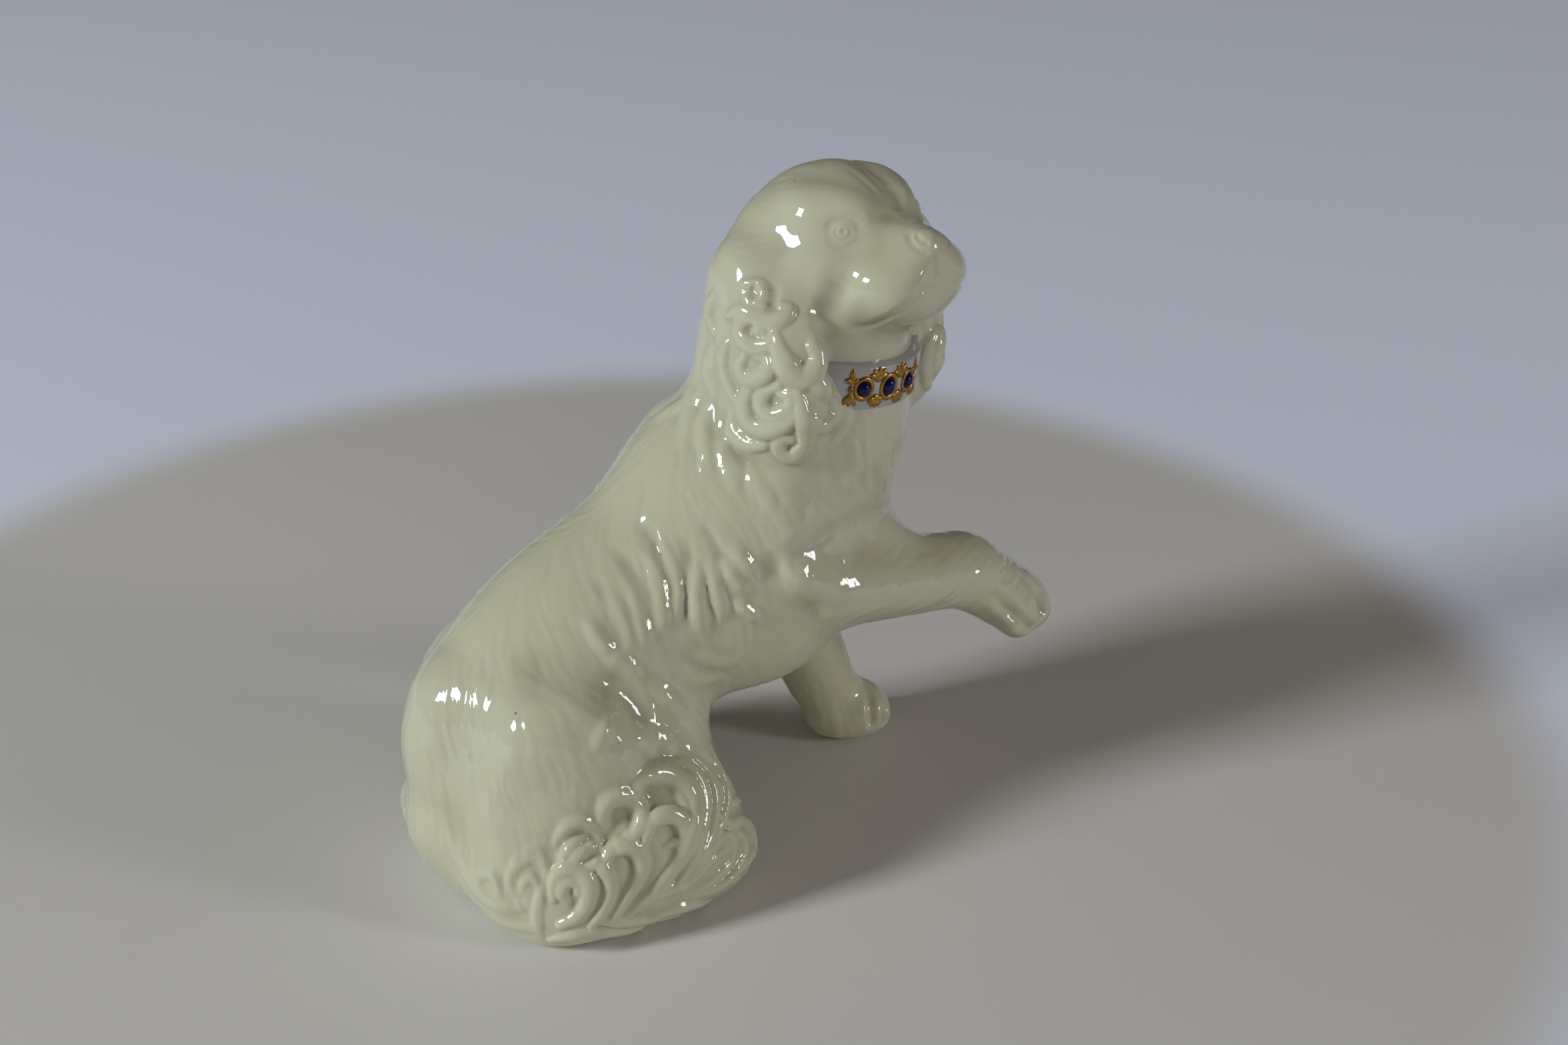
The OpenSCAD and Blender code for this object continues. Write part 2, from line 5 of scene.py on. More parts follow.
import bmesh
import bpy
import numpy as np
from mathutils import Euler, Matrix, Vector
from mathutils.bvhtree import BVHTree


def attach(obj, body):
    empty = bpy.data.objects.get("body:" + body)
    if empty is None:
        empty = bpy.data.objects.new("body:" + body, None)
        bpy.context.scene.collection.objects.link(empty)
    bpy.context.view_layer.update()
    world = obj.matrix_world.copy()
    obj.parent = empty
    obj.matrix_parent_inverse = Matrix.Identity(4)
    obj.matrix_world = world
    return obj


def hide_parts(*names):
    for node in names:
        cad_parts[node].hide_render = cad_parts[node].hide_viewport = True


# Lengths are written in mm and scaled to metres
MM = 0.001
# How fast a furrow fades at its two ends, and the rate at which an end is cut off square
SOFT_ENDS = (5, 5)
SQUARE = 99

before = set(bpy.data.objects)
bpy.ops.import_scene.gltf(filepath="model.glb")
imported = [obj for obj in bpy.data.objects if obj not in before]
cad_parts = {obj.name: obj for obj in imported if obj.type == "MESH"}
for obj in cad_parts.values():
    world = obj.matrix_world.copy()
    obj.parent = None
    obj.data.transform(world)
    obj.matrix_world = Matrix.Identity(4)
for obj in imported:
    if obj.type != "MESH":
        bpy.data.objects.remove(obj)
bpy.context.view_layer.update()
castings = [
    "body",
    "head",
    "right_ear",
    "left_ear",
    "raised_foreleg",
    "standing_foreleg",
    "right_hind_foot",
    "left_hind_foot",
]

# The photograph's camera, in the figure's own frame
photo_wide, photo_high = 2352, 1568
lens, sensor = 50.5, 36.0
camera_at = Vector((-122.7, -274.4, 208.0)) * MM
camera_turn = Euler((math.radians(63.4), 0, math.radians(-30)))
focal = photo_wide * lens / sensor
sight_frame = camera_turn.to_matrix()

# The head's own frame: where it sits, and the line from cheek to cheek
head_at = np.array((42.5, -7.0, 96.2)) * MM
head_side = np.array((0.956, 0.292, 0.0))


def hex_colour(text):
    """Linear colour of an sRGB hex value."""
    parts = [int(text[i : i + 2], 16) / 255 for i in (1, 3, 5)]
    return [c / 12.92 if c <= 0.04045 else ((c + 0.055) / 1.055) ** 2.4 for c in parts] + [1.0]


def sight(x, y):
    """Direction from the camera through a point of the photograph."""
    return sight_frame @ Vector((x - photo_wide / 2, photo_high / 2 - y, -focal)).normalized()


def smooth_line(points, steps):
    """Points along a smooth line through the given ones."""
    p = np.array(points, float)
    p = np.vstack([2 * p[0] - p[1], p, 2 * p[-1] - p[-2]])
    line = []
    for i in range(1, len(p) - 2):
        a, b, c, d = p[i - 1 : i + 3]
        for t in np.arange(steps) / steps:
            bend = (2 * a - 5 * b + 4 * c - d) * t**2 + (3 * b - a - 3 * c + d) * t**3
            line.append(0.5 * (2 * b + (c - a) * t + bend))
    return np.array(line + [p[-2]])


def oval(x, y, wide, high, corners=13):
    """An oval drawn on the photograph."""
    turns = np.linspace(0, 2 * math.pi, corners)
    return [(x + wide * math.cos(a), y + high * math.sin(a)) for a in turns]


class Clay:
    """A dense skin whose points are pushed by strokes, as a modeller pushes clay."""

    def __init__(self, mesh):
        self.mesh = mesh
        ends = np.empty(len(mesh.edges) * 2, int)
        mesh.edges.foreach_get("vertices", ends)
        self.a, self.b = ends.reshape(-1, 2).T
        self.at = np.empty(len(mesh.vertices) * 3)
        mesh.vertices.foreach_get("co", self.at)
        self.at = self.at.reshape(-1, 3)
        count = len(self.at)
        self.links = np.bincount(self.a, minlength=count) + np.bincount(self.b, minlength=count)
        self.read()

    def read(self):
        """Takes the mesh's normals, builds a tree of it and clears the strokes."""
        out = np.empty(len(self.at) * 3)
        self.mesh.vertex_normals.foreach_get("vector", out)
        self.out = out.reshape(-1, 3)
        work = bmesh.new()
        work.from_mesh(self.mesh)
        self.tree = BVHTree.FromBMesh(work)
        work.free()
        self.raised, self.cut, self.swelled = np.zeros((3, len(self.at)))
        self.order = np.argsort(self.at[:, 0])
        self.ordered = self.at[self.order, 0]

    def laid(self, points, steps=8):
        """A line drawn on the photograph, laid on the clay that it shows."""
        hits = [self.tree.ray_cast(camera_at, sight(x, y))[0] for x, y in smooth_line(points, steps)]
        return np.array([h for h in hits if h is not None])

    def spot(self, x, y):
        """A point of the photograph, laid on the clay that it shows."""
        return self.laid([(x, y), (x, y)], 1)[:1]

    def copies(self, points, across=None):
        """A drawn line laid on the clay, and its copy on the hidden side where one is asked for."""
        line = self.laid(points)
        return [line, across(line)] if across else [line]

    def on_skin(self, line):
        """The places on the skin that are nearest to a line's points."""
        return np.array([self.tree.find_nearest(Vector(p))[0] for p in line])

    def across_body(self, line):
        """The same line on the other side of the trunk."""
        return self.on_skin(line * [1, -1, 1])

    def across_head(self, line):
        """The same line on the other side of the head."""
        return self.on_skin(line - 2 * ((line - head_at) @ head_side)[:, None] * head_side)

    def spread(self, values):
        """Mean of each point's neighbours."""
        count = len(values)
        total = np.bincount(self.a, values[self.b], count) + np.bincount(self.b, values[self.a], count)
        return total / np.maximum(self.links, 1)

    def relax(self, rounds, share=0.5):
        """Smooths the skin, all over or by a share given for each point."""
        for _ in range(rounds):
            mean = np.stack([self.spread(self.at[:, k]) for k in range(3)], 1)
            self.at += np.asarray(share).reshape(-1, 1) * (mean - self.at)

    def soften(self, spot, reach, rounds, share=0.6, slope=1.4):
        """Smooths the skin round one spot, less towards its edge."""
        off = np.linalg.norm(self.at - spot, axis=1) / reach
        self.relax(rounds, share * np.clip(slope - slope * off, 0, 1))

    def near(self, line, reach):
        """Points near a line, their distance from it, and the share of its length where they lie."""
        low, high = line.min(0) - reach, line.max(0) + reach
        found = self.order[slice(*np.searchsorted(self.ordered, [low[0], high[0]]))]
        found = found[((self.at[found] > low) & (self.at[found] < high)).all(1)]
        best = np.full(len(found), np.inf)
        along = np.zeros(len(found))
        p = self.at[found]
        for i in range(len(line) - 1):
            run = line[i + 1] - line[i]
            t = np.clip((p - line[i]) @ run / max(run @ run, 1e-12), 0, 1)
            d = np.linalg.norm(p - line[i] - t[:, None] * run, axis=1)
            closer = d < best
            best[closer] = d[closer]
            along[closer] = (i + t[closer]) / (len(line) - 1)
        return found, best, along

    def ridge(self, line, width, height, ends=(0.5, 0.6)):
        """A rounded rope of clay along a line, thinner towards its two ends."""
        root_rate, tip_rate = 4, 2.5
        found, d, s = self.near(line, width)
        root = ends[0] + root_rate * s * (1 - ends[0])
        tip = ends[1] + tip_rate * (1 - s) * (1 - ends[1])
        size = np.minimum(1, np.minimum(root, tip))
        u = np.clip(d / (width * size), 0, 1)
        self.raised[found] = np.maximum(self.raised[found], height * size * np.sqrt(1 - u**2))

    def lock(self, line, width, height, rate=3, end_width=0.5):
        """A soft lock of hair along a line, fading into the coat at both ends."""
        found, d, s = self.near(line, width)
        fade = np.clip(rate * s, 0, 1) * np.clip(rate * (1 - s), 0, 1)
        u = np.clip(d / (width * (end_width + (1 - end_width) * fade)), 0, 1)
        self.raised[found] = np.maximum(self.raised[found], height * fade * (1 - u**2))

    def groove(self, line, width, depth, fade=SOFT_ENDS):
        """A soft furrow along a line, which fades at its two ends as fast as is asked."""
        found, d, s = self.near(line, width)
        u = np.clip(d / width, 0, 1)
        fade = np.clip(fade[0] * s, 0, 1) * np.clip(fade[1] * (1 - s), 0, 1)
        self.cut[found] = np.maximum(self.cut[found], depth * fade * (1 - u**2) ** 2)

    def swell(self, line, width, height):
        """A broad soft rise, or a hollow where the height is negative."""
        found, d, _ = self.near(np.vstack([line, line[:1]]), width)
        self.swelled[found] += height * (1 - np.clip(d / width, 0, 1) ** 2) ** 2

    def settle(self):
        """Moves the points by what the strokes have asked for."""
        self.at += self.out * (self.raised - self.cut + self.swelled)[:, None]
        self.at[:, 2] = np.maximum(self.at[:, 2], 0)
        self.mesh.vertices.foreach_set("co", self.at.ravel())
        self.mesh.update()
        self.read()


def placed(name, data):
    """A new object in the scene."""
    made = bpy.data.objects.new(name, data)
    bpy.context.scene.collection.objects.link(made)
    return made


def voxel_skin(mesh, size):
    """One even skin round everything in a mesh."""
    holder = placed("skin_maker", mesh)
    step = holder.modifiers.new("even", "REMESH")
    step.mode = "VOXEL"
    step.voxel_size = size
    bpy.context.view_layer.update()
    made = bpy.data.meshes.new_from_object(holder.evaluated_get(bpy.context.evaluated_depsgraph_get()))
    bpy.data.objects.remove(holder)
    return made


def joined_castings(swell, weld=0.005 * MM):
    """Copies of the castings in one mesh, each a little swollen so that their seams close."""
    whole = bmesh.new()
    for name in castings:
        part = bmesh.new()
        part.from_mesh(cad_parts[name].data)
        bmesh.ops.remove_doubles(part, verts=part.verts, dist=weld)
        part.normal_update()
        for v in part.verts:
            v.co += v.normal * swell
        copy = bpy.data.meshes.new(name + "_copy")
        part.to_mesh(copy)
        part.free()
        whole.from_mesh(copy)
    mesh = bpy.data.meshes.new("castings")
    whole.to_mesh(mesh)
    whole.free()
    return mesh


def nearest_castings(points):
    """Number of the casting that each point belongs to."""
    corners, triangles, owner = [], [], []
    for number, name in enumerate(castings):
        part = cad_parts[name].data
        start = len(corners)
        corners += [v.co.copy() for v in part.vertices]
        triangles += [[start + i for i in p.vertices] for p in part.polygons]
        owner += [number] * len(part.polygons)
    tree = BVHTree.FromPolygons(corners, triangles)
    return np.array([owner[tree.find_nearest(Vector(p))[2]] for p in points])


def finer(clay, chosen, rings=2, rounds=5, share=0.5):
    """The same skin with twice the points where it is chosen, smoothed there and a few points further."""
    work = bmesh.new()
    work.from_mesh(clay.mesh)
    edges = [e for e in work.edges if chosen[e.verts[0].index] and chosen[e.verts[1].index]]
    old = len(work.verts)
    bmesh.ops.subdivide_edges(work, edges=edges, cuts=1, use_grid_fill=True)
    work.to_mesh(clay.mesh)
    work.free()
    made = Clay(clay.mesh)
    fresh = np.zeros(len(made.at))
    fresh[old:] = 1
    for _ in range(rings):
        fresh = np.maximum(fresh, np.ceil(made.spread(fresh)))
    made.relax(rounds, share * fresh)
    made.settle()
    return made


# First skin: the castings as one smooth mass
seam_swell, rough_voxel, rough_rounds, joint_rounds = 0.2 * MM, 0.9 * MM, 14, 60
rough = Clay(voxel_skin(joined_castings(seam_swell), rough_voxel))
rough.relax(rough_rounds)
rough.settle()

# Joints smoothed away, each with its reach: the ear's root, the seat and the end of the hind foot
soft_joints = [
    ((1120, 379), 11, rough.across_head),
    ((616, 1190), 13, rough.across_body),
    ((752, 1345), 10, rough.across_body),
]
for middle, reach, across in soft_joints:
    joint = rough.spot(*middle)
    for spot in (joint, across(joint)):
        rough.soften(spot, reach * MM, joint_rounds)
        rough.settle()

# Broad forms: line on the photograph, half width, height, and the side that it is copied to
broad_forms = [
    # Ear root, flews, brow, cheek, lip and temple, and the hollow beside the forelock
    ([(1114, 350), (1110, 376)], 9, 1.7, rough.across_head),
    ([(1336, 424), (1354, 420)], 6.5, 0.9, rough.across_head),
    ([(1206, 298), (1236, 291), (1270, 302), (1302, 318)], 4, 0.6, rough.across_head),
    ([(1206, 396), (1230, 402)], 4.5, 0.9, rough.across_head),
    ([(1302, 428), (1318, 442), (1326, 458)], 5, 0.9, rough.across_head),
    ([(1180, 312), (1200, 318)], 7, 1.2, rough.across_head),
    ([(1326, 254), (1352, 268)], 7, -1.0, None),
    # Shoulder, elbow, forearm and standing paw
    ([(1166, 725), (1180, 765), (1192, 798)], 6, 1.0, rough.across_body),
    ([(1188, 862), (1216, 882)], 5, 1.2, None),
    ([(1204, 876), (1256, 886), (1310, 888), (1364, 882), (1410, 872)], 6, 1.1, None),
    ([(1296, 1034), (1304, 1052)], 6, 1.6, None),
    # Chin, raised paw and the lip under the nose
    ([(1400, 458), (1412, 454)], 5.5, 0.8, None),
    ([(1516, 934), (1525, 944)], 4, 1.7, None),
    ([(1420, 408), (1424, 416)], 4.5, 0.6, None),
    # Haunch and its crest, and the hollows before it and below it
    ([(815, 1120), (850, 1146)], 12, 1.6, None),
    ([(760, 1062), (810, 1058), (862, 1068), (900, 1096), (918, 1135)], 8, 1.1, None),
    ([(955, 1046), (985, 1080), (1000, 1110)], 8, -1.3, rough.across_body),
    ([(710, 1232), (760, 1212), (820, 1184), (880, 1152)], 8, -1.2, rough.across_body),
    # Seat and the end of the hind foot
    ([(640, 1035), (634, 1070), (630, 1105)], 11, 1.9, rough.across_body),
    ([(622, 1130), (626, 1165), (633, 1200), (643, 1235)], 11, 1.6, rough.across_body),
    ([(728, 1336), (746, 1360)], 7, 1.8, rough.across_body),
]
for drawn, width, height, across in broad_forms:
    for line in rough.copies(drawn, across):
        rough.swell(line, width * MM, height * MM)
rough.settle()
rough.relax(3)
rough.settle()

# Last skin: finer on the ears, the hind feet and the face
fine_voxel = 0.47 * MM
skin = Clay(voxel_skin(rough.mesh, fine_voxel))
skin.relax(4)
skin.settle()
curled = [castings.index(name) for name in ("right_ear", "left_ear", "right_hind_foot", "left_hind_foot")]
skin = finer(skin, np.isin(nearest_castings(skin.at), curled))
eye_middle, nose_middle = (1265, 347), (1392, 356)
eye_reach, nose_reach, face_rounds = 4.6 * MM, 6 * MM, 2
near_eye = skin.spot(*eye_middle)
nose_tip = skin.spot(*nose_middle)
for _ in range(face_rounds):
    face = np.zeros(len(skin.at), bool)
    far_eye = skin.across_head(near_eye)
    for spot, reach in ((near_eye, eye_reach), (far_eye, eye_reach), (nose_tip, nose_reach)):
        face |= np.linalg.norm(skin.at - spot, axis=1) < reach
    skin = finer(skin, face)

owners = nearest_castings(skin.at)

# Curls of the near ear, each with its half width, drawn on the photograph from root to tip
ear_locks = [
    (1.1, [(1116, 424), (1136, 426), (1149, 438), (1144, 454), (1128, 457), (1120, 448)]),
    (1.5, [(1092, 474), (1112, 466), (1136, 476), (1158, 483), (1176, 474), (1182, 464), (1174, 460)]),
    (1.6, [(1164, 500), (1152, 519), (1130, 520), (1112, 506), (1110, 488), (1126, 478)]),
    (1.3, [(1132, 498), (1144, 494), (1150, 503)]),
    (1.6, [(1118, 532), (1110, 550), (1120, 568), (1140, 568), (1154, 552), (1150, 536), (1138, 534)]),
    (1.9, [(1160, 498), (1170, 530), (1184, 556), (1204, 568), (1222, 556), (1229, 536), (1220, 520)]),
    (1.7, [(1128, 578), (1116, 604), (1124, 634), (1148, 646), (1176, 638), (1196, 616)]),
    (1.5, [(1168, 580), (1150, 588), (1143, 608), (1158, 624), (1180, 616), (1186, 598), (1172, 592)]),
    (1.6, [(1192, 578), (1222, 576), (1244, 590), (1251, 612), (1246, 632), (1230, 641), (1222, 630)]),
    (1.6, [(1196, 590), (1203, 618), (1210, 642), (1207, 664), (1190, 684), (1172, 676), (1173, 660),
           (1188, 660)]),
    (1.4, [(1240, 566), (1260, 584), (1268, 610), (1264, 640), (1248, 664)]),
    (1.5, [(1090, 514), (1084, 545), (1092, 576), (1104, 600)]),
    (1.4, [(1072, 440), (1064, 470), (1072, 500)]),
    (1.4, [(1068, 520), (1062, 556), (1072, 590)]),
    (1.4, [(1096, 622), (1102, 650), (1122, 668), (1146, 670)]),
]
ear_rise = 0.6
for width, drawn in ear_locks:
    for line in skin.copies(drawn, skin.across_head):
        skin.ridge(line, width * MM, ear_rise * width * MM)

# Crook-headed locks of the hind feathering, each with its half width
feather_locks = [
    (1.5, [(952, 1204), (960, 1174), (985, 1160), (1012, 1166), (1034, 1186), (1042, 1215), (1036, 1250),
           (1020, 1285), (1000, 1315), (975, 1345)]),
    (0.9, [(1008, 1182), (1022, 1196), (1028, 1216), (1020, 1238)]),
    (0.8, [(1000, 1142), (1025, 1146), (1047, 1165), (1058, 1195), (1058, 1230), (1048, 1270), (1030, 1305),
           (1008, 1335)]),
    (0.7, [(1040, 1135), (1060, 1155), (1072, 1185), (1074, 1215), (1066, 1255), (1050, 1290), (1030, 1320)]),
    (0.7, [(1050, 1125), (1072, 1145), (1088, 1175), (1091, 1205), (1080, 1240), (1065, 1275), (1042, 1310)]),
    (1.3, [(907, 1244), (904, 1218), (916, 1200), (936, 1195), (955, 1206), (963, 1226), (956, 1246),
           (940, 1258)]),
    (1.3, [(966, 1268), (973, 1245), (986, 1228), (1006, 1221), (1023, 1231), (1030, 1252), (1023, 1277),
           (1008, 1303), (988, 1332), (962, 1362)]),
    (0.8, [(998, 1270), (1014, 1262), (1020, 1276), (1008, 1300), (994, 1322)]),
    (1.3, [(906, 1300), (915, 1279), (935, 1269), (955, 1276), (962, 1296), (954, 1322), (939, 1348),
           (922, 1374)]),
    (1.1, [(880, 1300), (900, 1298), (914, 1315), (915, 1340), (905, 1366), (888, 1388)]),
    (1.2, [(830, 1350), (832, 1320), (850, 1303), (872, 1309), (884, 1331), (880, 1357), (864, 1377),
           (842, 1388)]),
    (0.9, [(852, 1354), (842, 1339), (850, 1323), (865, 1326), (869, 1341)]),
    (1.0, [(833, 1264), (849, 1241), (870, 1233), (890, 1243), (900, 1260)]),
    (0.8, [(840, 1290), (858, 1268), (878, 1255)]),
    (0.8, [(850, 1302), (870, 1281), (890, 1268), (905, 1276)]),
    (1.1, [(940, 1374), (970, 1348), (1005, 1333), (1028, 1333)]),
    (1.0, [(952, 1388), (1000, 1367), (1050, 1356), (1086, 1345)]),
    (1.0, [(826, 1410), (880, 1401), (940, 1396), (990, 1390)]),
    (0.9, [(896, 1382), (940, 1384), (985, 1377), (1034, 1368)]),
    (0.7, [(1012, 1342), (1045, 1305), (1070, 1270), (1090, 1251), (1102, 1263), (1099, 1290)]),
    (0.6, [(1022, 1338), (1055, 1305), (1078, 1281), (1096, 1274)]),
    (0.7, [(1028, 1347), (1065, 1322), (1090, 1300), (1099, 1285)]),
    (0.7, [(1040, 1347), (1075, 1331), (1096, 1317), (1111, 1300)]),
    (0.9, [(1078, 1224), (1095, 1236), (1113, 1232), (1128, 1246), (1131, 1270), (1121, 1292), (1108, 1306)]),
    (0.7, [(1098, 1250), (1114, 1255), (1117, 1280), (1106, 1300)]),
    (0.8, [(1094, 1206), (1111, 1202), (1124, 1215), (1129, 1236)]),
]
feather_spread, feather_rise = 1.2, 0.88
for width, drawn in feather_locks:
    for line in skin.copies(drawn, skin.across_body):
        skin.ridge(line, feather_spread * width * MM, feather_rise * width * MM)

# Flat locks where the feathering runs out towards the seat, each with its half width and height
low_locks = [
    (1.3, 0.5, [(762, 1346), (765, 1316), (778, 1295), (797, 1285), (813, 1292), (820, 1312), (813, 1340)]),
    (1.2, 0.5, [(820, 1312), (812, 1342), (806, 1368), (808, 1395), (815, 1414)]),
    (0.9, 0.35, [(779, 1346), (785, 1328), (796, 1318), (806, 1326), (807, 1343)]),
    (1.1, 0.4, [(716, 1346), (713, 1328), (724, 1312), (740, 1316), (747, 1334), (742, 1354)]),
    (1.4, 0.35, [(674, 1240), (683, 1280), (701, 1318), (728, 1350), (760, 1362), (790, 1357), (802, 1348)]),
    (1.2, 0.35, [(724, 1376), (765, 1389), (800, 1394), (812, 1406)]),
    (1.1, 0.45, [(772, 1290), (797, 1274), (824, 1262)]),
]
for width, height, drawn in low_locks:
    skin.lock(skin.laid(drawn), width * MM, height * MM)

# Docked tail, low at the back and turned to the far side
tail_half, tail_rise, tail_ends = 3.6 * MM, 1.0 * MM, (0.7, 0.75)
tail = np.array([(-24, 10, 7), (-22.5, 13.5, 6.6), (-20, 17, 6), (-17, 20, 5.4)]) * MM
skin.ridge(skin.on_skin(tail), tail_half, tail_rise, tail_ends)

# Wavy locks of the flank, the haunch, the neck and the breast, each with its half width and height
flank_locks = [
    (1.7, 0.95, [(1036, 838), (1042, 866), (1044, 900), (1051, 935), (1060, 955)]),
    (1.3, 0.8, [(1062, 836), (1070, 862), (1077, 890), (1082, 918), (1078, 940)]),
    (1.4, 0.85, [(1082, 838), (1096, 860), (1112, 880), (1132, 898)]),
    (1.4, 0.8, [(1094, 812), (1108, 832), (1122, 850), (1140, 872)]),
    (1.3, 0.8, [(1098, 900), (1113, 912), (1130, 925), (1147, 937)]),
    (1.5, 0.75, [(985, 800), (1000, 835), (1012, 872), (1016, 905), (1013, 940)]),
    (1.8, 0.75, [(965, 815), (982, 850), (992, 890), (994, 925), (986, 955)]),
    (1.7, 0.7, [(935, 850), (953, 885), (963, 920), (967, 955), (976, 975)]),
    (1.6, 0.65, [(905, 880), (925, 915), (940, 950), (948, 980)]),
    (1.5, 0.65, [(872, 915), (890, 945), (908, 972), (922, 990)]),
    (1.6, 0.5, [(900, 975), (925, 990), (948, 1006), (965, 1022)]),
    (1.4, 0.5, [(975, 1032), (998, 1045), (1020, 1062), (1030, 1080)]),
    (1.5, 0.45, [(1040, 975), (1062, 990), (1090, 995), (1120, 985)]),
    (1.4, 0.4, [(1010, 985), (1030, 1010), (1060, 1020), (1085, 1018)]),
    (3.2, 0.7, [(893, 1092), (906, 1100), (918, 1106)]),
    (2.0, 0.5, [(948, 1078), (964, 1098), (978, 1120), (980, 1138)]),
    (1.5, 0.5, [(985, 1092), (1002, 1112), (1012, 1136)]),
    (1.9, 0.5, [(1044, 556), (1030, 596), (1032, 640), (1022, 676)]),
    (1.8, 0.5, [(1066, 596), (1052, 636), (1062, 680), (1052, 712)]),
    (1.8, 0.5, [(1090, 634), (1084, 676), (1100, 712), (1098, 742)]),
    (1.7, 0.45, [(1122, 690), (1130, 722), (1150, 748), (1152, 776)]),
    (1.6, 0.45, [(1270, 650), (1282, 690), (1276, 726), (1294, 760)]),
    (1.5, 0.45, [(1296, 640), (1304, 684), (1302, 720), (1318, 752)]),
    (1.4, 0.4, [(1320, 630), (1328, 676), (1328, 716), (1342, 746)]),
]
for width, height, drawn in flank_locks:
    for line in skin.copies(drawn, skin.across_body):
        skin.lock(line, width * MM, height * MM)

# Furrows between the locks, and the soft hollow round the thigh, each with its half width and depth
body_furrows = [
    (1.6, 0.5, [(955, 778), (972, 805), (996, 842), (1008, 880), (1006, 920)]),
    (1.6, 0.5, [(918, 813), (942, 850), (958, 888), (968, 922), (978, 950)]),
    (1.5, 0.4, [(1050, 785), (1070, 815), (1086, 848)]),
    (1.4, 0.4, [(1022, 800), (1034, 850), (1030, 900), (1034, 945)]),
    (1.4, 0.35, [(888, 860), (912, 900), (930, 940), (938, 975)]),
    (6.0, 0.9, [(770, 1016), (815, 1006), (866, 1008), (910, 1028), (940, 1056)]),
    (3.0, 0.5, [(905, 1030), (935, 1044), (955, 1070), (962, 1105)]),
]
for width, depth, drawn in body_furrows:
    for line in skin.copies(drawn, skin.across_body):
        skin.groove(line, width * MM, depth * MM)

# Creases where the raised leg leaves the shoulder and the elbow lies on the flank
leg_furrows = [
    (3.0, 0.45, [(1336, 752), (1300, 768), (1262, 786), (1225, 806), (1196, 830), (1170, 846)]),
    (3.0, 0.65, [(1162, 826), (1160, 856), (1178, 888), (1208, 910), (1240, 924)]),
]
for width, depth, drawn in leg_furrows:
    skin.groove(skin.laid(drawn), width * MM, depth * MM)
skin.settle()
curl_share = 0.4
skin.relax(2)
skin.relax(2, curl_share * np.isin(owners, curled))
skin.settle()

# Eyes: the socket, the ball and the pierced pupil, each with its half width and height, and the iris's ring
eye_forms = [(4.4, -0.45), (2.4, 0.34), (0.6, -0.22)]
iris = oval(*eye_middle, 12, 12.5)
iris_half, iris_deep = 0.45 * MM, 0.07 * MM

# Furrows of the face and the ear's root: half width, depth, how fast the ends fade, and line
face_furrows = {
    "upper_lid": (1.0, 0.22, SOFT_ENDS, [(1236, 351), (1244, 338), (1258, 331), (1274, 331), (1288, 339),
                                         (1299, 351)]),
    "lower_lid": (0.9, 0.12, SOFT_ENDS, [(1238, 355), (1250, 366), (1266, 371), (1284, 366), (1298, 355)]),
    "nostril": (0.75, 0.26, SOFT_ENDS, [(1375, 350), (1378, 359), (1386, 365), (1394, 364)]),
    "nose_edge": (1.0, 0.2, SOFT_ENDS, [(1362, 343), (1365, 358), (1374, 370), (1386, 376), (1400, 377)]),
    "lips": (1.1, 0.45, (6, 3), [(1405, 428), (1387, 435), (1374, 447), (1355, 463), (1330, 478), (1300, 489),
                                 (1272, 488)]),
    "cheek_fold": (3.6, 0.8, (3, 3), [(1272, 400), (1257, 430), (1247, 458), (1232, 488)]),
    "stop_fold": (2.0, 0.3, (3, 3), [(1300, 322), (1340, 327), (1384, 333)]),
    "ear_dimple": (1.2, 0.25, SOFT_ENDS, [(1126, 430), (1133, 433), (1139, 428)]),
    "ear_fold": (1.8, 0.5, SOFT_ENDS, [(1157, 424), (1156, 444), (1150, 462)]),
}
for lay in (np.array, skin.across_head):
    for width, height in eye_forms:
        skin.swell(lay(near_eye), width * MM, height * MM)
    skin.groove(lay(skin.laid(iris, 3)), iris_half, iris_deep, (SQUARE, SQUARE))
    for width, depth, fade, drawn in face_furrows.values():
        skin.groove(lay(skin.laid(drawn)), width * MM, depth * MM, fade)

# Middle of the face: the nose, the cleft under it and the furrow of the brow
nose_half, nose_rise = 3 * MM, 0.4 * MM
cleft_half, cleft_deep = 0.9 * MM, 0.22 * MM
brow_half, brow_deep = 2.6 * MM, 0.4 * MM
skin.swell(nose_tip, nose_half, nose_rise)
skin.groove(skin.laid([(1400, 377), (1402, 398), (1403, 426)]), cleft_half, cleft_deep)
skin.groove(skin.laid([(1356, 320), (1346, 300), (1336, 276)]), brow_half, brow_deep)

# Furrows between the toes of the raised and the standing paw, and the rounded backs of the raised toes
toe_gap_half, toe_gap_deep, toe_gap_fade = 1.4 * MM, 0.95 * MM, (1.6, SQUARE)
toe_half, toe_rise = 2.4 * MM, 0.35 * MM
toe_furrows = [
    [(1478, 882), (1500, 904), (1525, 925), (1548, 943)],
    [(1526, 858), (1549, 880), (1561, 900), (1566, 922)],
    [(1288, 1008), (1304, 1040), (1310, 1090)],
    [(1318, 1008), (1330, 1045), (1328, 1086)],
]
toe_backs = [
    [(1488, 908), (1508, 928), (1526, 946)],
    [(1504, 888), (1528, 908), (1548, 928)],
    [(1545, 868), (1560, 884), (1570, 900)],
]
for drawn in toe_furrows:
    skin.groove(skin.laid(drawn), toe_gap_half, toe_gap_deep, toe_gap_fade)
for drawn in toe_backs:
    skin.swell(skin.laid(drawn), toe_half, toe_rise)

